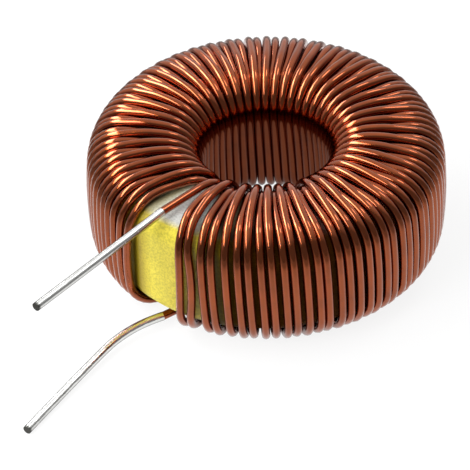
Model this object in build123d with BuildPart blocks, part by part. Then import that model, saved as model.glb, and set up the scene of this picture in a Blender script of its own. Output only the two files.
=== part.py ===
from build123d import *
import math
import os

# A toroidal power inductor lying flat: a ring core of pressed iron powder, painted, wound with one
# enamelled copper wire whose two ends leave side by side, over and under the ring.
# The origin is the ring's centre, +Z is the axis of its hole, and the bare stretch of the core,
# where both ends leave, faces -Y. Angles are in degrees from -Y, counterclockwise seen from above.

# Ring core
core_outer_d = 33.0
core_bore_d = 16.3
core_height = 11.1
core_edge_radius = 2.0

# Wire: the bare copper, and the same wire over its enamel
copper_d = 0.71
wire_d = 0.75
wire_sides = 6
wire_slack = 0.025

# Winding outside the ring: the bare stretch, the turns and how they stray
gap_angle = 22.7
turn_gap = 0.28
side_bow = 0.55
outside_lean = 0.9
turn_stray = 0.12
stray_cycle = 149.0
spread_angle = 60.0
spread_share = 0.055

# Winding in the bore, where every other pass rides over the two beside it, on the faces too. The last
# passes drift on, over about so many turns, and close the bore up behind the bare stretch.
layer_step = 0.9
bore_lean = 1.9
closing_drift = 14.0
closing_turns = 10.0

# Ends: an inset is measured inwards from the rim, a reach outwards, and an aside towards +X
solder_thickness = 0.07
upper_height = 1.25
upper_tin_inset = 1.35
upper_reach = 16.25
lower_under_inset = 3.5
lower_under_aside = 1.3
lower_tin_inset = 0.5
lower_tin_aside = 0.3
lower_bend_reach = 2.5
lower_bend_aside = -0.95
lower_reach = 19.0
lower_aside = 0.55
lower_drop = 0.45

# What follows from these
core_outer_r = core_outer_d / 2
core_bore_r = core_bore_d / 2
half_height = core_height / 2
# The wire is drawn as a bar of six flats with the round wire's area, to keep its many turns light.
bar_r = wire_d / 2 * math.sqrt(math.pi / (wire_sides / 2 * math.sin(2 * math.pi / wire_sides)))
lift = bar_r + wire_slack
outside_r = core_outer_r + lift
face_z = half_height + lift
inner_layer_r = core_bore_r - lift - layer_step


def at(radius, angle, z):
    """A point by its distance from the axis, its angle from -Y and its height."""
    return Vector(radius * math.sin(math.radians(angle)), -radius * math.cos(math.radians(angle)), z)


def corner_cut(standoff):
    """How far from a square corner a flat starts that touches a round of the core's edge radius,
    or stands off that round."""
    return (core_edge_radius + standoff) * (2 - math.sqrt(2))


def most_turns():
    """The turns that fit side by side outside, or in the bore if fewer fit there.
    The number is odd, so that the last pass up the bore lies in the inner layer."""
    outside_arc = math.radians(360 - gap_angle) * outside_r
    outside = math.floor(outside_arc / (wire_d + turn_gap)) + 1
    bore = 2 * math.floor(math.pi * inner_layer_r / bar_r)
    fewest = min(outside, bore)
    return fewest if fewest % 2 else fewest - 1


turns = most_turns()


def spread(angle):
    """How far a turn is carried along because the turns lie wider apart around spread_angle."""
    return math.degrees(spread_share) * math.sin(math.radians(angle - spread_angle))


def outside_angle(turn):
    """The angle of a turn's run down the outside. Turns wound by hand spread and stray a little."""
    start = gap_angle / 2
    end = 360 - start
    share = (turn - 1) / (turns - 1)
    even = start + (end - start) * share
    stray = turn_stray * math.sin(math.radians(stray_cycle * turn)) if 1 < turn < turns else 0
    return even + spread(even) - spread(start) * (1 - share) - spread(end) * share + stray


def bore_angle(bore_pass):
    """The angle of a pass up the bore, between the turns before and after it."""
    between = (outside_angle(bore_pass) + outside_angle(bore_pass + 1)) / 2
    return between + closing_drift * math.exp((bore_pass - turns) / closing_turns)


def outside_run(turn):
    """Down the outside of the ring, bowed a little and leaning towards the next turn."""
    angle = outside_angle(turn)
    top = angle - outside_lean
    bottom = angle + outside_lean
    cut = corner_cut(lift)
    return [
        at(outside_r - cut, top, face_z),
        at(outside_r, top, face_z - cut),
        at(outside_r + side_bow, angle, 0),
        at(outside_r, bottom, cut - face_z),
        at(outside_r - cut, bottom, -face_z),
    ]


def bore_run(bore_pass):
    """Up the bore: even passes lie on the core, odd ones ride over the wires beside them."""
    standoff = lift + layer_step * (bore_pass % 2)
    radius = core_bore_r - standoff
    z = half_height + standoff
    cut = corner_cut(standoff)
    bottom = bore_angle(bore_pass) - bore_lean
    top = bore_angle(bore_pass) + bore_lean
    return [
        at(radius + cut, bottom, -z),
        at(radius, bottom, cut - z),
        at(radius, top, z - cut),
        at(radius + cut, top, z),
    ]


# The lower end leaves along the underside, bends once outside the ring and droops to its tip.
lower_under = Vector(lower_under_aside, lower_under_inset - core_outer_r, -face_z)
lower_root = Vector(lower_tin_aside, lower_tin_inset - core_outer_r, -face_z)
lower_bend = Vector(lower_bend_aside, -core_outer_r - lower_bend_reach, -face_z)
lower_tip = Vector(lower_aside, -core_outer_r - lower_reach, -face_z - lower_drop)

# The upper end leaves straight and level, a little above the face.
upper_root = Vector(0, upper_tin_inset - core_outer_r, half_height + upper_height)
upper_tip = Vector(0, -core_outer_r - upper_reach, half_height + upper_height)

with BuildLine() as lower_end:
    Polyline(lower_root, lower_bend, lower_tip)
with BuildLine() as upper_end:
    Line(upper_root, upper_tip)


def wound_route():
    """The corners of the whole enamelled wire, from the lower end's tinning to the upper end's."""
    corners = [lower_root, lower_under] + bore_run(0)
    for turn in range(1, turns):
        corners += outside_run(turn) + bore_run(turn)
    return corners + outside_run(turns) + bore_run(turns) + [upper_root]


def start_plane(line):
    """The plane across a line's start."""
    return Plane(origin=line @ 0, z_dir=line % 0)


def solder_coat(line, label):
    """The skin of solder that a bared end was dipped in, along that end's line."""
    with BuildPart() as coat:
        with BuildSketch(start_plane(line)):
            Circle(copper_d / 2 + solder_thickness)
            Circle(copper_d / 2, mode=Mode.SUBTRACT)
        sweep(path=line, transition=Transition.RIGHT)
    coat.part.label = label
    return coat


# Ring core: a disc with its bore. Flats stand for the rounds of its four edges, as the wire's bends do.
with BuildPart() as core:
    Cylinder(core_outer_r, core_height)
    Hole(core_bore_r)
    chamfer(core.edges().filter_by(GeomType.CIRCLE), corner_cut(0))
core.part.label = "core"

# Winding: one wire, enamelled where it is wound, with its two ends bared
with BuildPart() as winding:
    with BuildLine() as wound:
        Polyline(*wound_route())
    with BuildSketch(start_plane(wound.line)):
        RegularPolygon(bar_r, wire_sides)
    sweep(transition=Transition.RIGHT)
    for end in (lower_end.line, upper_end.line):
        with BuildSketch(start_plane(end)):
            Circle(copper_d / 2)
        sweep(path=end, transition=Transition.RIGHT)
winding.part.label = "winding"

# Tinning on the two bared ends
lower_tinning = solder_coat(lower_end.line, "lower_tinning")
upper_tinning = solder_coat(upper_end.line, "upper_tinning")

os.makedirs("parts", exist_ok=True)
for piece in (core, winding, lower_tinning, upper_tinning):
    export_step(piece.part, f"parts/{piece.part.label}.step")
print(turns, "turns,", f"{sum(edge.length for edge in wound.edges()):.0f} mm of wound wire")
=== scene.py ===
import math

import bpy
from bpy.props import FloatProperty, FloatVectorProperty, IntProperty, PointerProperty
from mathutils import Matrix, Vector


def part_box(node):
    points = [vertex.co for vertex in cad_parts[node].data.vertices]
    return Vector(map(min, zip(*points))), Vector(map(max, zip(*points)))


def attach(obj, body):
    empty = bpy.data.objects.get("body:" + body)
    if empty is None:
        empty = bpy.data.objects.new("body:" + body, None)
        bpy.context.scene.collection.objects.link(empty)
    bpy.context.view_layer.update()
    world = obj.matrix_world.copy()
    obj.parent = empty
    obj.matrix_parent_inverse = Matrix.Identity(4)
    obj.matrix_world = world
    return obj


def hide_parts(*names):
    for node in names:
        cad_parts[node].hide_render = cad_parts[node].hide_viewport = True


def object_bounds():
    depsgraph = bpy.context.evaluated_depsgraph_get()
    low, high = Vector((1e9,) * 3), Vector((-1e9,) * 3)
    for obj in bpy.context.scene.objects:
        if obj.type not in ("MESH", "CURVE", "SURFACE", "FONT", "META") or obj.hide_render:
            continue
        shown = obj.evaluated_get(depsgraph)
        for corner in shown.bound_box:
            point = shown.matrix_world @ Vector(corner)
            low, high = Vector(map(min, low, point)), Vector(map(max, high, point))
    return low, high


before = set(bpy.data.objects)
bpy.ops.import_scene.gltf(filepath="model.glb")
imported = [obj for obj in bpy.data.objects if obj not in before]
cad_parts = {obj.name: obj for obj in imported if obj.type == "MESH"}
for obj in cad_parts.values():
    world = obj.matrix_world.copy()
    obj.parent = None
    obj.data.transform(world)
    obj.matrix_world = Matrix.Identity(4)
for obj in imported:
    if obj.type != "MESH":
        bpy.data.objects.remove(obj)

bl_info = {
    "name": "Toroidal inductor",
    "version": (1, 0, 0),
    "blender": (4, 5, 0),
    "location": "3D View > Sidebar > Inductor",
    "description": "A painted ring core wound with one enamelled copper wire, with tinned ends",
    "category": "Add Mesh",
}

# The frame gives the core's size. Lengths are in metres, heights are from the ring's middle, and angles
# are in degrees from -Y, counterclockwise seen from above. The bare stretch of the core faces -Y.
MM = 0.001
CAD_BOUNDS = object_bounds()
CORE_LOW, CORE_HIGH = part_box("core")


# Sizes and colours

class CoreSizes(bpy.types.PropertyGroup):
    """Sizes and paint of the ring core"""

    outer_diameter: FloatProperty(
        name="Outer diameter", description="Across the painted ring", default=CORE_HIGH[0] - CORE_LOW[0],
        unit="LENGTH")
    bore_diameter: FloatProperty(
        name="Bore diameter", description="Across the hole in the painted ring", default=16.3 * MM,
        unit="LENGTH")
    height: FloatProperty(
        name="Height", description="Between the ring's two faces", default=CORE_HIGH[2] - CORE_LOW[2],
        unit="LENGTH")
    edge_radius: FloatProperty(
        name="Edge radius", description="Of the round on each of the ring's four edges", default=2.0 * MM,
        unit="LENGTH")
    side_colour: FloatVectorProperty(
        name="Side colour", description="Paint on the side, the bore and the lower face", size=3,
        subtype="COLOR", default=(0.79, 0.67, 0.07))
    face_colour: FloatVectorProperty(
        name="Face colour", description="Paint on the upper face", size=3, subtype="COLOR",
        default=(0.72, 0.74, 0.70))


class WindingSizes(bpy.types.PropertyGroup):
    """Sizes and enamel of the wound wire"""

    turns: IntProperty(name="Turns", description="Turns of wire around the ring's section", default=97)
    wire_diameter: FloatProperty(
        name="Wire diameter", description="Over the enamel", default=0.84 * MM, unit="LENGTH")
    clearance: FloatProperty(
        name="Clearance", description="Between the wire and what it lies on", default=0.02 * MM,
        unit="LENGTH")
    bare_angle: FloatProperty(
        name="Bare stretch", description="Between the first and the last turn, in degrees", default=22.7)
    side_bow: FloatProperty(
        name="Bow", description="How far a turn stands off the side at half its height", default=0.55 * MM,
        unit="LENGTH")
    bore_step: FloatProperty(
        name="Step in the bore", description="From the layer on the core to the layer that rides over it",
        default=0.7 * MM, unit="LENGTH")
    face_step: FloatProperty(
        name="Step under the ring", description="The same where the wire turns into the lower mouth",
        default=0.1 * MM, unit="LENGTH")
    enamel_colour: FloatVectorProperty(
        name="Enamel colour", description="Copper seen through its brown enamel", size=3, subtype="COLOR",
        default=(0.29, 0.054, 0.005))


class EndSizes(bpy.types.PropertyGroup):
    """Size and solder of the wire's two bared ends"""

    tinned_diameter: FloatProperty(
        name="Tinned diameter", description="Across a wire end over its solder", default=0.85 * MM,
        unit="LENGTH")
    solder_colour: FloatVectorProperty(
        name="Solder colour", description="Bright dipped solder", size=3, subtype="COLOR",
        default=(0.78, 0.78, 0.76))
    # Dull cut metal at each tip, darkened further with painted shade
    cut_and_shade_colour: FloatVectorProperty(
        name="Cut colour", description="Dull metal where an end was cut", size=3, subtype="COLOR",
        default=(0.14, 0.14, 0.13))


class StageLook(bpy.types.PropertyGroup):
    """The floor, the lamps and the camera's direction"""

    floor_colour: FloatVectorProperty(
        name="Floor colour", description="Plain pale floor", size=3, subtype="COLOR",
        default=(0.9, 0.9, 0.9))
    floor_glow: FloatProperty(
        name="Floor glow", description="Share of plain white in the floor that the camera sees",
        default=0.87)
    key_power: FloatProperty(name="Key lamp", description="Power of the soft lamp on the left", default=0.06)
    overhead_power: FloatProperty(
        name="Overhead lamp", description="Power of the long soft lamp above the left side", default=0.38)
    side_power: FloatProperty(
        name="Side lamp", description="Power of the soft lamp on the right", default=0.04)
    front_power: FloatProperty(
        name="Front lamp", description="Power of the soft lamp in front", default=0.22)
    view_azimuth: FloatProperty(
        name="View azimuth", description="Of the camera, in degrees from -Y", default=40.65)
    view_elevation: FloatProperty(
        name="View elevation", description="Of the camera, in degrees above the floor", default=39.2)


def ring_point(radius, angle, height):
    """A point by its distance from the axis, its angle and its height."""
    turned = math.radians(angle)
    return Vector((radius * math.sin(turned), -radius * math.cos(turned), height))


# Finishes

class Nodes:
    """Adds nodes to a material's tree or to the world's. A value is a number, a colour, a direction
    or a socket."""

    def __init__(self, tree):
        self.nodes = tree.nodes
        self.links = tree.links

    def feed(self, socket, value):
        """Link a socket to another one, or set its own value."""
        if isinstance(value, bpy.types.NodeSocket):
            self.links.new(value, socket)
        else:
            socket.default_value = value

    def add(self, kind, *values, **settings):
        """A node with its settings, and with its first inputs fed in their order."""
        node = self.nodes.new("ShaderNode" + kind)
        for name, setting in settings.items():
            setattr(node, name, setting)
        for socket, value in zip(node.inputs, values):
            self.feed(socket, value)
        return node

    def maths(self, operation, *values):
        return self.add("Math", *values, operation=operation).outputs["Value"]

    def length(self, place):
        return self.add("VectorMath", place, operation="LENGTH").outputs["Value"]

    def dot_product(self, place, direction):
        return self.add("VectorMath", place, direction, operation="DOT_PRODUCT").outputs["Value"]

    def share(self, value, start, end):
        """How far a value is on its way from start to end, from 0 to 1."""
        return self.add("MapRange", value, start, end).outputs["Result"]

    def noise(self, place, per_mm, detail=4, roughness=0.6):
        """Noise with that many waves to the millimetre."""
        noise = self.add("TexNoise", place)
        noise.inputs["Scale"].default_value = per_mm / MM
        noise.inputs["Detail"].default_value = detail
        noise.inputs["Roughness"].default_value = roughness
        return noise.outputs["Fac"]

    def ramp(self, value, *stops):
        """A colour ramp over a value, from stops of a position and a colour or a grey's one value."""
        ramp = self.add("ValToRGB", value)
        elements = ramp.color_ramp.elements
        while len(elements) < len(stops):
            elements.new(0.5)
        for element, (position, colour) in zip(elements, stops):
            element.position = position
            element.color = (*colour, 1) if isinstance(colour, tuple) else (colour, colour, colour, 1)
        return ramp.outputs["Color"]

    def multiply(self, first, second):
        """One colour times another."""
        mix = self.add("Mix", data_type="RGBA", blend_type="MULTIPLY")
        mix.inputs["Factor"].default_value = 1
        colours = [socket for socket in mix.inputs if socket.type == "RGBA"]
        self.feed(colours[0], first)
        self.feed(colours[1], second)
        return next(socket for socket in mix.outputs if socket.type == "RGBA")


class Finish(Nodes):
    """A material with its shader, and the Object coordinates that its patterns hang on."""

    def __init__(self, name):
        self.material = bpy.data.materials.new(name)
        self.material.use_nodes = True
        super().__init__(self.material.node_tree)
        self.shader = self.nodes["Principled BSDF"]
        self.place = self.add("TexCoord").outputs["Object"]

    def set(self, inputs):
        """Set or link the shader's inputs by their names."""
        for name, value in inputs.items():
            self.feed(self.shader.inputs[name], value)

    def roughen(self, height, strength, distance):
        """Let a height pattern roughen the surface."""
        bump = self.add("Bump")
        bump.inputs["Strength"].default_value = strength
        bump.inputs["Distance"].default_value = distance
        self.feed(bump.inputs["Height"], height)
        self.set({"Normal": bump.outputs["Normal"]})


def core_paint(sizes):
    """Satin paint, yellow on the side and pale on the upper face, with the powder's grain under it and
    painted shade under and between the turns."""
    paint = Finish("core_paint")
    place = paint.place
    x, y, z = paint.add("SeparateXYZ", place).outputs

    # The face's paint ends a little below the face, along a line that wavers
    waver = 0.2 * MM
    face_height = sizes.height / 2
    wavering = paint.maths("MULTIPLY_ADD", paint.noise(place, 0.5), waver, z)
    upwards = paint.share(wavering, face_height - 0.3 * MM, face_height + 0.06 * MM)
    side = tuple(sizes.side_colour)
    face = tuple(sizes.face_colour)
    between = tuple((a + b) / 2 for a, b in zip(side, face))
    colour = paint.ramp(upwards, (0.15, side), (0.6, between), (1.0, face))

    specks = paint.ramp(paint.noise(place, 1.7, detail=8, roughness=0.75), (0.27, 0.35), (0.33, 1))
    mottle = paint.ramp(paint.noise(place, 0.35), (0.3, 0.86), (0.7, 1))
    grain = paint.ramp(paint.noise(place, 4.5, detail=2), (0.35, 0.72), (0.6, 1))
    grain_and_painted_shade = paint.multiply(paint.multiply(specks, mottle), grain)

    # The cosine of the angle from the middle of the bare stretch: 1 there, less towards the wound part
    heading = paint.add("CombineXYZ", x, y).outputs["Vector"]
    heading = paint.add("VectorMath", heading, operation="NORMALIZE").outputs["Vector"]
    bare_middle = 5
    bare_facing = paint.dot_product(heading, ring_point(1, bare_middle, 0))
    # Painted shade: the paint darkens away from the bare stretch, under and between the turns, with an olive
    # band of painted shade along the bare stretch's edge. The paint's gloss is turned down there too.
    painted_shade = paint.ramp(
        bare_facing, (0.0, (0.17, 0.05, 0.05)), (0.90, (0.16, 0.07, 0.05)), (0.945, (0.2, 0.16, 0.09)),
        (0.969, (0.34, 0.29, 0.15)), (0.977, (0.5, 0.44, 0.26)), (0.986, (0.82, 0.78, 0.62)), (0.992, 1))
    grain_and_painted_shade = paint.multiply(grain_and_painted_shade, painted_shade)

    paint.set({
        "Base Color": paint.multiply(colour, grain_and_painted_shade),
        "Roughness": 0.42,
        "Specular IOR Level": paint.ramp(bare_facing, (0.93, 0.02), (0.97, 0.4)),
    })
    paint.roughen(paint.noise(place, 3, detail=6), strength=0.35, distance=0.03 * MM)
    return paint.material


def enamelled_copper(sizes):
    """Copper under clear brown enamel, a little uneven along the wire and crazed where it was bent."""
    enamel = Finish("enamelled_copper")
    place = enamel.place
    colour = tuple(sizes.enamel_colour)
    darker = tuple(0.8 * c for c in colour)
    lighter = tuple(min(1.15 * c, 1) for c in colour)
    enamel.set({
        "Base Color": enamel.ramp(
            enamel.noise(place, 0.4, detail=5), (0.3, darker), (0.5, colour), (0.75, lighter)),
        "Metallic": 1,
        "Roughness": enamel.ramp(enamel.noise(place, 0.8, detail=5), (0.3, 0.1), (0.7, 0.17)),
        "Coat Weight": 0.7,
        "Coat Roughness": 0.08,
        "Coat IOR": 1.5,
    })
    # The bends over the core's outer edges lie this far from the ring's middle
    over_edges = enamel.share(enamel.length(place), 16.0 * MM, 18.0 * MM)
    bent = enamel.ramp(over_edges, (0.45, 0), (0.6, 1), (0.75, 1), (0.9, 0))
    fine = enamel.noise(place, 5, detail=2)
    coarse = enamel.noise(place, 0.9, detail=3)
    crazing = enamel.maths("MULTIPLY_ADD", fine, bent, coarse)
    enamel.roughen(crazing, strength=0.25, distance=0.04 * MM)
    return enamel.material


def bright_solder(name, sizes, tip):
    """Bright solder, drawn into faint ridges along the wire, and a dull cut tip past that Y in painted
    shade.
    """
    solder = Finish(name)
    place = solder.place
    x, y, z = solder.add("SeparateXYZ", place).outputs
    # The cut tip past this is dull metal, darkened further with painted shade
    on_shaded_cut_tip = solder.share(y, tip + 0.35 * MM, tip + 0.1 * MM)
    black = (0, 0, 0, 1)
    solder.set({
        "Base Color": solder.ramp(
            on_shaded_cut_tip, (0.0, tuple(sizes.solder_colour)), (1.0, tuple(sizes.cut_and_shade_colour))),
        "Metallic": 1,
        "Roughness": solder.ramp(solder.noise(place, 1.2, detail=6), (0.3, 0.12), (0.7, 0.3)),
        "Specular Tint": black,
    })
    drawn = solder.add("Mapping", place)
    drawn.inputs["Scale"].default_value = (1, 0.08, 1)
    ridges = solder.noise(drawn.outputs["Vector"], 4.5, detail=3)
    solder.roughen(ridges, strength=0.5, distance=0.05 * MM)
    return solder.material


# Wire, bent around the corners of its route

# A bend of stated radius takes at most this share of its shorter run
LARGEST_SHARE = 0.75
# The least angle that a corner turns, in radians, and the shortest straight that is drawn
LEAST_TURN = 1e-4
SHORTEST_STRAIGHT = 0.02 * MM


def bend_reaches(places, turned, radii):
    """How far each corner's bend reaches back and forward along its runs. A stated radius comes first,
    and the corners with none take or share what it leaves."""
    runs = [(after - before).length for before, after in zip(places, places[1:])]
    stated = [
        min(radius * math.tan(angle / 2), LARGEST_SHARE * run) if radius else 0
        for radius, angle, run in zip(radii[1:], turned, map(min, runs, runs[1:]))]
    stated = [0, *stated, 0]
    free = [run - before - after for run, before, after in zip(runs, stated, stated[1:])]
    last = len(places) - 1
    reaches = []
    for index in range(1, last):
        if radii[index]:
            reaches.append((stated[index], stated[index]))
        else:
            back = free[index - 1] * (1 if radii[index - 1] or index == 1 else 0.5)
            forward = free[index] * (1 if radii[index + 1] or index == last - 1 else 0.5)
            reaches.append((back, forward))
    return reaches


def go_straight(stations, place):
    """Carry the wire straight on to a place, unless it is already there."""
    run = place - stations[-1][1]
    if run.length > SHORTEST_STRAIGHT:
        stations[-1][2] = stations[-1][1] + run / 3
        stations.append([place - run / 3, place, place])


def bent_stations(corners):
    """The wire's line as stations, each a handle behind, a place and a handle ahead. Each corner is a
    point and the radius of its bend, or 0 for the widest bend that its runs allow."""
    places = [place for place, radius in corners]
    radii = [radius for place, radius in corners]
    turned = [
        max((corner - before).angle(after - corner), LEAST_TURN)
        for before, corner, after in zip(places, places[1:], places[2:])]
    reaches = bend_reaches(places, turned, radii)
    stations = [[places[0], places[0], places[0]]]
    for before, corner, after, angle, (back, forward) in zip(
            places, places[1:], places[2:], turned, reaches):
        # The share of its reach that a handle has where the bend is an arc
        arc_handle = 4 / 3 * math.tan(angle / 4) / math.tan(angle / 2)
        arriving = (before - corner).normalized()
        leaving = (after - corner).normalized()
        end = corner + leaving * forward
        go_straight(stations, corner + arriving * back)
        stations[-1][2] = stations[-1][1] - arriving * back * arc_handle
        stations.append([end - leaving * forward * arc_handle, end, end])
    go_straight(stations, places[-1])
    return stations


def bend_wire(name, corners, wire_diameter, sides, steps):
    """A wire around its corners, as a mesh with that many sides, and steps from station to station."""
    stations = bent_stations(corners)
    bpy.ops.object.select_all(action="DESELECT")
    bpy.ops.curve.primitive_bezier_curve_add(location=(0, 0, 0))
    wire = bpy.context.object
    wire.name = name
    curve = wire.data
    curve.dimensions = "3D"
    curve.resolution_u = steps
    curve.bevel_mode = "ROUND"
    curve.bevel_depth = wire_diameter / 2
    curve.bevel_resolution = (sides - 4) // 2
    curve.use_fill_caps = True
    curve.splines.clear()
    spline = curve.splines.new("BEZIER")
    spline.bezier_points.add(len(stations) - 1)
    for point, (behind, place, ahead) in zip(spline.bezier_points, stations):
        point.handle_left_type = "FREE"
        point.handle_right_type = "FREE"
        point.co = place
        point.handle_left = behind
        point.handle_right = ahead
    bpy.ops.object.convert(target="MESH")
    return bpy.context.object


class Route:
    """Where the one wire runs: turns down the outside, passes up the bore, and runs across both faces.
    Turns are counted from 1 at the lower end, and a pass has the number of the turn before it."""

    # How far a turn leans on its way down and a pass on its way up, to either side of its middle
    OUTSIDE_LEAN = 0.9
    BORE_LEAN = 1.9
    # The turns lie widest apart around WIDEST_AT. A wave around there carries them on, together with a
    # steady share of it, and both die away towards the last turn.
    WIDER = 2.205
    WIDEST_AT = 60
    WIDER_STEADY = 0.7
    # The early turns lie loose: how far they are carried on, and the turns over which that grows and
    # dies away
    LOOSE = 2.7
    LOOSE_GROWS = 5
    LOOSE_DIES = 60
    # Each turn strays by a sum of waves, each a share, the radians from turn to turn and a phase
    STRAY = 0.28
    STRAY_WAVES = ((1, 2.6, 0), (0.6, 4.3, 1))
    # So many turns on each side of the bare stretch are held near their even places
    HELD_TURNS = 4
    # The last passes are carried on to close the bore up, over about so many passes
    CLOSING = 14.0
    CLOSING_PASSES = 10
    # Two pairs of passes lie side by side on the core, each given by its middle. They and the passes
    # beside them are spread apart, which dies away over so many passes.
    PAIRS = (2.5, 13.5)
    PAIR_SPREAD = 1.0
    SPREAD_PASSES = 4
    # The passes around SLIP_MIDDLE slipped along under the next ones: how far, and over how many passes,
    # squared, that dies away
    SLIP = 2.2
    SLIP_MIDDLE = 1.2
    SLIP_REACH = 1.5
    # A run across a face bellies out, back against the way the turns go round. The first runs and the
    # last do so more: how much, and over how many passes that dies away.
    BELLY = 1.2
    FIRST_BELLY = (2.4, 2.2)
    LAST_BELLY = (6, 5)
    # How far inwards the upper layer in the bore is aimed at half height
    BORE_BOW = 0.15 * MM
    # How far the stiff wire stands off the core at its rim, outwards and up, and how much wider than the
    # core's edge it bends for that
    RIM_STANDOFF = 0.03 * MM
    RIM_RISE = 0.04 * MM
    RIM_WIDENING = 1.3 * MM
    # Rise, widening and lean inwards at the upper mouth of the bore, of the upper layer and of the lower
    OVER_MOUTH = (0.2 * MM, 1.2 * MM, 0.7 * MM)
    UNDER_MOUTH = (0.3 * MM, 0.7 * MM, 0)
    # A run across a face is domed: shares of the way out, with the rise and the share of the belly there
    OVER_DOME = ((0.35, 0.98 * MM, 1), (0.62, 0.66 * MM, 0.8))
    UNDER_DOME = ((0.35, 0.25 * MM, 1), (0.62, 0.4 * MM, 0.8))
    # Turns beside the bare stretch are shifted at the rim, half height and foot
    SHIFTS = {
        1: (0.2, 0.5, -2.1), 2: (-0.7, 1.5, -2.3), 3: (0.3, 0.4, 0.3), 96: (1.8, 0, 0), 97: (3.0, 0, 0)}

    def __init__(self, core, winding):
        self.turns = winding.turns
        self.start = winding.bare_angle / 2
        self.pitch = (360 - winding.bare_angle) / (self.turns - 1)
        self.lift = winding.wire_diameter / 2 + winding.clearance
        self.bore_step = winding.bore_step
        self.face_step = winding.face_step
        self.bow = winding.side_bow
        self.edge_radius = core.edge_radius
        self.bore_radius = core.bore_diameter / 2
        self.outside_radius = core.outer_diameter / 2 + self.lift
        self.face_height = core.height / 2 + self.lift

    def outside_angle(self, turn):
        """The angle of a turn's run down the outside."""
        even = self.start + self.pitch * (turn - 1)
        share = (turn - 1) / (self.turns - 1)
        wave = math.sin(math.radians(even - self.WIDEST_AT))
        wider = self.WIDER * (wave + self.WIDER_STEADY) * (1 - share)
        grown = 1 - math.exp(-(turn / self.LOOSE_GROWS) ** 2)
        loose = self.LOOSE * grown * math.exp(-turn / self.LOOSE_DIES)
        stray = self.STRAY * sum(
            part * math.sin(step * turn + phase) for part, step, phase in self.STRAY_WAVES)
        free = min(turn - 1, self.turns - turn, self.HELD_TURNS) / self.HELD_TURNS
        return even + (wider + loose + stray) * free

    def rides_over(self, bore_pass):
        """Every other pass rides over the two beside it, but each pair lies on the core side by side."""
        first, second = self.PAIRS
        return bore_pass % 2 == (0 if first < bore_pass < second else 1)

    def bore_angle(self, bore_pass):
        """The angle of a pass up the bore, between the turns before and after it."""
        between = (self.outside_angle(bore_pass) + self.outside_angle(bore_pass + 1)) / 2
        closing = self.CLOSING * math.exp(-(self.turns - bore_pass) / self.CLOSING_PASSES)
        slip = self.SLIP * math.exp(-(bore_pass - self.SLIP_MIDDLE) ** 2 / self.SLIP_REACH)
        spread = sum(
            math.copysign(self.PAIR_SPREAD, bore_pass - pair)
            * math.exp(-abs(bore_pass - pair) / self.SPREAD_PASSES)
            for pair in self.PAIRS)
        return between + closing + slip + spread

    def run_angles(self, turn):
        """The angles of an outside run at its rim, half height and foot."""
        angle = self.outside_angle(turn)
        at_rim, halfway, at_foot = self.SHIFTS.get(turn, (0, 0, 0))
        return angle - self.OUTSIDE_LEAN + at_rim, angle + halfway, angle + self.OUTSIDE_LEAN + at_foot

    def outside_run(self, turn):
        """Down the outside, bowed, leaning and rounded over the core's edges."""
        rim, middle, foot = self.run_angles(turn)
        radius = self.outside_radius + self.RIM_STANDOFF
        height = self.face_height + self.RIM_RISE
        bend = self.edge_radius + self.lift + self.RIM_WIDENING
        return [
            (ring_point(radius, rim, height), bend),
            (ring_point(self.outside_radius + self.bow, middle, 0), 0),
            (ring_point(radius, foot, -height), bend),
        ]

    def belly(self, bore_pass):
        """How far the run across the upper face after a pass bellies out."""
        first, first_passes = self.FIRST_BELLY
        last, last_passes = self.LAST_BELLY
        return (
            self.BELLY + first * math.exp(-bore_pass / first_passes)
            + last * math.exp(-(self.turns - bore_pass) / last_passes))

    def face_run(self, mouth_angle, rim_angle, over, side, belly):
        """Outwards across the upper face, or with side -1 inwards across the lower one."""
        run = []
        for share, rise, belly_share in self.OVER_DOME if over else self.UNDER_DOME:
            radius = self.bore_radius + share * (self.outside_radius - self.bore_radius)
            angle = mouth_angle + share * (rim_angle - mouth_angle) - belly * belly_share
            run.append((ring_point(radius, angle, side * (self.face_height + rise)), 0))
        return run if side > 0 else run[::-1]

    def bore_run(self, bore_pass):
        """Up the bore, on the core or over the passes beside it."""
        over = self.rides_over(bore_pass)
        rise, widening, inwards = self.OVER_MOUTH if over else self.UNDER_MOUTH
        radius = self.bore_radius - self.lift - self.bore_step * over
        bend = self.edge_radius + self.lift
        angle = self.bore_angle(bore_pass)
        return [
            (ring_point(radius, angle - self.BORE_LEAN, -self.face_height - self.face_step * over), bend),
            (ring_point(radius - self.BORE_BOW * over, angle, 0), 0),
            (ring_point(radius - inwards, angle + self.BORE_LEAN, self.face_height + rise),
             bend + widening),
        ]

    def corners(self, lower_end, upper_end):
        """The corners of the whole wire from one end to the other, each with its radius."""
        found = list(lower_end)
        for bore_pass in range(self.turns + 1):
            over = self.rides_over(bore_pass)
            angle = self.bore_angle(bore_pass)
            belly = self.belly(bore_pass)
            if bore_pass:
                # A run under the ring bellies out half as far as one over it
                foot = self.run_angles(bore_pass)[2]
                found += self.face_run(angle - self.BORE_LEAN, foot, over, -1, belly / 2)
            found += self.bore_run(bore_pass)
            if bore_pass < self.turns:
                rim = self.run_angles(bore_pass + 1)[0]
                found += self.face_run(angle + self.BORE_LEAN, rim, over, 1, belly)
                found += self.outside_run(bore_pass + 1)
        return found + list(upper_end)


def lower_end_line():
    """The lower end: under the ring, where its tinning starts, at the rim, along its bend and at its tip."""
    return [
        Vector((1.3, -13.0, -6.0)) * MM,
        Vector((0.18, -16.07, -6.25)) * MM,
        Vector((-0.62, -17.75, -6.3)) * MM,
        Vector((-1.2, -20.6, -6.4)) * MM,
        Vector((-1.15, -23.6, -6.5)) * MM,
        Vector((0.45, -35.88, -6.85)) * MM,
    ]


def upper_end_line():
    """The upper end: where its tinning starts and at its tip, straight and level."""
    return [Vector((0.15, -15.55, 6.55)) * MM, Vector((0.15, -33.2, 6.55)) * MM]


# Pieces

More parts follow.
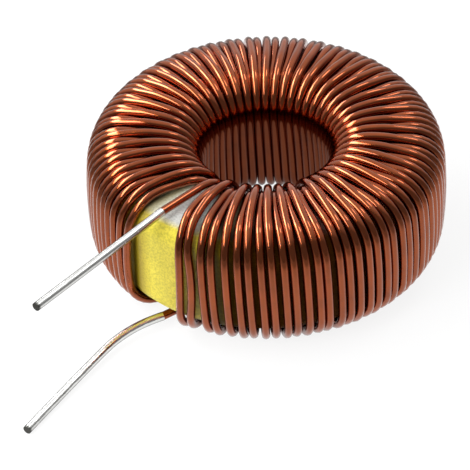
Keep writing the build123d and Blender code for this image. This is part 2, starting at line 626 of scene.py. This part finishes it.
# Sides of the wire's section and steps along each of its bends, for the wound wire and for the ends
WOUND_SIDES, WOUND_STEPS = 12, 6
END_SIDES, END_STEPS = 16, 12
# Steps around the ring core and across each of its rounded edges, and how near to each other the doubles
# lie that are merged where it closes
RING_STEPS = 144
EDGE_STEPS = 8
DOUBLES = 0.001 * MM


def finish_piece(piece, name, material, slot, *nodes):
    """Name a finished mesh, dress it, and let it stand for the nodes that it replaces."""
    piece.name = name
    piece.data.name = name
    piece.data.materials.clear()
    piece.data.materials.append(material)
    bpy.ops.object.select_all(action="DESELECT")
    piece.select_set(True)
    bpy.context.view_layer.objects.active = piece
    bpy.ops.object.transform_apply(location=True, rotation=True, scale=True)
    bpy.ops.object.shade_smooth()
    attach(piece, "root")
    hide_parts(*nodes)


class INDUCTOR_OT_core(bpy.types.Operator):
    """Spin the ring core from its rounded section"""

    bl_idname = "inductor.core"
    bl_label = "Ring core"

    def execute(self, context):
        sizes = context.scene.core_sizes
        wall = (sizes.outer_diameter - sizes.bore_diameter) / 2
        middle = (sizes.outer_diameter + sizes.bore_diameter) / 4
        bpy.ops.object.select_all(action="DESELECT")
        bpy.ops.mesh.primitive_plane_add(size=1, location=(middle, 0, 0), rotation=(math.pi / 2, 0, 0))
        ring = context.object
        ring.scale = (wall, sizes.height, 1)
        bpy.ops.object.transform_apply(location=True, rotation=True, scale=True)
        bpy.ops.object.mode_set(mode="EDIT")
        bpy.ops.mesh.select_all(action="SELECT")
        bpy.ops.mesh.bevel(offset=sizes.edge_radius, segments=EDGE_STEPS, affect="VERTICES")
        bpy.ops.mesh.select_all(action="SELECT")
        bpy.ops.mesh.spin(steps=RING_STEPS, angle=2 * math.pi, center=(0, 0, 0), axis=(0, 0, 1))
        bpy.ops.mesh.select_all(action="SELECT")
        bpy.ops.mesh.remove_doubles(threshold=DOUBLES)
        bpy.ops.mesh.delete_loose()
        bpy.ops.mesh.select_all(action="SELECT")
        bpy.ops.mesh.normals_make_consistent(inside=False)
        bpy.ops.object.mode_set(mode="OBJECT")
        finish_piece(ring, "ring_core", core_paint(sizes), "core_paint", "core")
        return {"FINISHED"}


class INDUCTOR_OT_winding(bpy.types.Operator):
    """Wind the enamelled wire around the ring, in one length"""

    bl_idname = "inductor.winding"
    bl_label = "Winding"

    def execute(self, context):
        core = context.scene.core_sizes
        sizes = context.scene.winding_sizes
        under, lower_root = lower_end_line()[:2]
        upper_root = upper_end_line()[0]
        corners = Route(core, sizes).corners([(lower_root, 0), (under, 0)], [(upper_root, 0)])
        wire = bend_wire("wire", corners, sizes.wire_diameter, WOUND_SIDES, WOUND_STEPS)
        finish_piece(wire, "enamelled_wire", enamelled_copper(sizes), "enamelled_copper", "winding")
        return {"FINISHED"}


class INDUCTOR_OT_tinned_ends(bpy.types.Operator):
    """Draw the two tinned ends of the wire"""

    bl_idname = "inductor.tinned_ends"
    bl_label = "Tinned ends"

    def execute(self, context):
        sizes = context.scene.end_sizes
        root, tip = upper_end_line()
        ends = (
            ("lower_end", lower_end_line()[1:], "lower_tinning"),
            ("upper_end", [root, (root + tip) / 2, tip], "upper_tinning"))
        for name, line, node in ends:
            corners = [(place, 0) for place in line]
            end = bend_wire(name, corners, sizes.tinned_diameter, END_SIDES, END_STEPS)
            solder = bright_solder(name + "_solder", sizes, line[-1].y)
            finish_piece(end, name, solder, "solder", node)
        return {"FINISHED"}


# Stage

FLOOR_WIDTH = 4
# How much of its light the floor keeps, by shares of this distance from the ring's middle: less under
# the ring and far from it
LIT_REACH = 60 * MM
FLOOR_LIGHT = (
    (0.0, 1), (0.07, 0.85), (0.11, 0.45), (0.25, 0.3), (0.3, 1), (0.45, 1), (0.7, 0.65), (1.0, 0.35))
# Where the world's light comes from, and its brightness by the cosine of the angle from there
SKY_DIRECTION = (-0.65, 0.37, 0.67)
SKY_LIGHT = ((0.0, 0.2), (0.35, 0.65), (0.7, 1))
# Each lamp's place and its two widths, in millimetres. The second width lies along the view.
LAMPS = {
    "key": ((-110, -28, 126), (52, 52)),
    "overhead": ((-85, -47, 125), (46, 340)),
    "side": ((23, 93, 159), (55, 55)),
    "front": ((7, -160, 108), (90, 90)),
}
# The camera stands far off and is rolled by some degrees. Its frame and focal length are in pixels, the
# ring's middle falls on the ring pixel, and the sensor's width is in millimetres.
CAMERA_DISTANCE = 356 * MM
CAMERA_ROLL = -1.2
FRAME_PIXELS = 470
FOCAL_PIXELS = 3604
RING_PIXEL = (266.4, 184.0)
SENSOR_WIDTH = 36
CLIP_START = 10 * MM


class INDUCTOR_OT_stage(bpy.types.Operator):
    """Set the pale floor, the soft lamps and the camera"""

    bl_idname = "inductor.stage"
    bl_label = "Stage"

    def execute(self, context):
        look = context.scene.stage_look
        self.add_floor(context, look)
        self.add_world(context)
        view = -ring_point(1, look.view_azimuth, 0)
        for name in LAMPS:
            lamp = self.add_lamp(context, name, getattr(look, name + "_power"), view)
            # The lamp in front only lifts the dark side, and the metal doesn't mirror it
            lamp.visible_glossy = name != "front"
        self.add_camera(context, look)
        return {"FINISHED"}

    def add_floor(self, context, look):
        """A plain floor under the ring, partly plain white to the camera and in what metal mirrors."""
        bpy.ops.object.select_all(action="DESELECT")
        bpy.ops.mesh.primitive_plane_add(size=FLOOR_WIDTH, location=(0, 0, CAD_BOUNDS[0][2]))
        floor = context.object
        floor.name = "floor"
        bpy.ops.object.transform_apply(location=True, rotation=True, scale=True)
        cover = Finish("pale_floor")
        ray = cover.add("LightPath").outputs
        light = self.floor_light(cover, ray)
        cover.set({"Base Color": cover.multiply((*look.floor_colour, 1), light), "Roughness": 0.9})
        white = cover.add("Emission", light, 1)
        share = self.share_of_white(cover, ray, look.floor_glow)
        blend = cover.add("MixShader", share, cover.shader.outputs["BSDF"], white.outputs["Emission"])
        cover.feed(cover.nodes["Material Output"].inputs["Surface"], blend.outputs["Shader"])
        floor.data.materials.append(cover.material)

    def floor_light(self, cover, ray):
        """The floor is shaded under the ring and in the distance, though the camera sees it all lit."""
        outwards = cover.share(cover.length(cover.place), 0, LIT_REACH)
        return cover.maths("MAXIMUM", cover.ramp(outwards, *FLOOR_LIGHT), ray["Is Camera Ray"])

    def share_of_white(self, cover, ray, glow):
        """The share of plain white, which leaves some of the floor's shadow."""
        seen = cover.maths("MAXIMUM", ray["Is Camera Ray"], ray["Is Glossy Ray"])
        seen = cover.maths("MAXIMUM", seen, ray["Is Transmission Ray"])
        return cover.maths("MULTIPLY", seen, glow)

    def add_world(self, context):
        """Soft light from behind on the left, and a dim room on the camera's side."""
        world = bpy.data.worlds.new("soft_light")
        context.scene.world = world
        world.use_nodes = True
        sky = Nodes(world.node_tree)
        direction = sky.add("TexCoord").outputs["Generated"]
        light = sky.ramp(sky.dot_product(direction, SKY_DIRECTION), *SKY_LIGHT)
        sky.feed(sky.nodes["Background"].inputs["Color"], light)

    def add_lamp(self, context, name, power, view):
        """A soft lamp aimed at the ring, with its second width along the camera's view."""
        place, widths = LAMPS[name]
        bpy.ops.object.light_add(type="AREA", location=[c * MM for c in place])
        lamp = context.object
        lamp.name = name
        lamp.data.shape = "ELLIPSE"
        lamp.data.size = widths[0] * MM
        lamp.data.size_y = widths[1] * MM
        lamp.data.energy = power
        away = lamp.location.normalized()
        along = (view - away * view.dot(away)).normalized()
        lamp.rotation_euler = Matrix((along.cross(away), along, away)).transposed().to_euler()
        return lamp

    def add_camera(self, context, look):
        """The camera, aimed so that the ring's middle falls where the photo has it."""
        azimuth = math.radians(look.view_azimuth)
        elevation = math.radians(look.view_elevation)
        roll = math.radians(CAMERA_ROLL)
        place = CAMERA_DISTANCE * Vector((
            math.sin(azimuth) * math.cos(elevation), -math.cos(azimuth) * math.cos(elevation),
            math.sin(elevation)))
        right = Vector((math.cos(azimuth), math.sin(azimuth), 0))
        up = right.cross(-place.normalized())
        rolled_right = right * math.cos(roll) + up * math.sin(roll)
        rolled_up = up * math.cos(roll) - right * math.sin(roll)
        across, down = (FRAME_PIXELS / 2 - pixel for pixel in RING_PIXEL)
        aim = (rolled_right * across - rolled_up * down) * CAMERA_DISTANCE / FOCAL_PIXELS
        bpy.ops.object.camera_add(location=place)
        camera = context.object
        camera.name = "camera"
        heading = (aim - place).normalized()
        side = (rolled_right - heading * rolled_right.dot(heading)).normalized()
        camera.rotation_euler = Matrix((side, side.cross(heading), -heading)).transposed().to_euler()
        camera.data.sensor_width = SENSOR_WIDTH
        camera.data.lens = FOCAL_PIXELS / FRAME_PIXELS * SENSOR_WIDTH
        camera.data.clip_start = CLIP_START
        context.scene.camera = camera


class INDUCTOR_PT_panel(bpy.types.Panel):
    """The sizes and colours, and a button for each step"""

    bl_label = "Inductor"
    bl_idname = "INDUCTOR_PT_panel"
    bl_space_type = "VIEW_3D"
    bl_region_type = "UI"
    bl_category = "Inductor"

    def draw(self, context):
        for title, name in (
                ("Core", "core_sizes"), ("Winding", "winding_sizes"), ("Ends", "end_sizes"),
                ("Stage", "stage_look")):
            group = getattr(context.scene, name)
            box = self.layout.box()
            box.label(text=title)
            for size in GROUPS[name].__annotations__:
                box.prop(group, size)
        for operator in OPERATORS:
            self.layout.operator(operator.bl_idname)


GROUPS = {
    "core_sizes": CoreSizes, "winding_sizes": WindingSizes, "end_sizes": EndSizes, "stage_look": StageLook}
OPERATORS = (INDUCTOR_OT_core, INDUCTOR_OT_winding, INDUCTOR_OT_tinned_ends, INDUCTOR_OT_stage)


def register():
    for name, group in GROUPS.items():
        bpy.utils.register_class(group)
        setattr(bpy.types.Scene, name, PointerProperty(type=group))
    for operator in OPERATORS:
        bpy.utils.register_class(operator)
    bpy.utils.register_class(INDUCTOR_PT_panel)


def unregister():
    bpy.utils.unregister_class(INDUCTOR_PT_panel)
    for operator in reversed(OPERATORS):
        bpy.utils.unregister_class(operator)
    for name, group in GROUPS.items():
        delattr(bpy.types.Scene, name)
        bpy.utils.unregister_class(group)


def main():
    """Build the inductor and its stage."""
    register()
    bpy.context.scene.view_settings.view_transform = "Standard"
    bpy.ops.inductor.core()
    bpy.ops.inductor.winding()
    bpy.ops.inductor.tinned_ends()
    bpy.ops.inductor.stage()


if __name__ == "__main__":
    main()
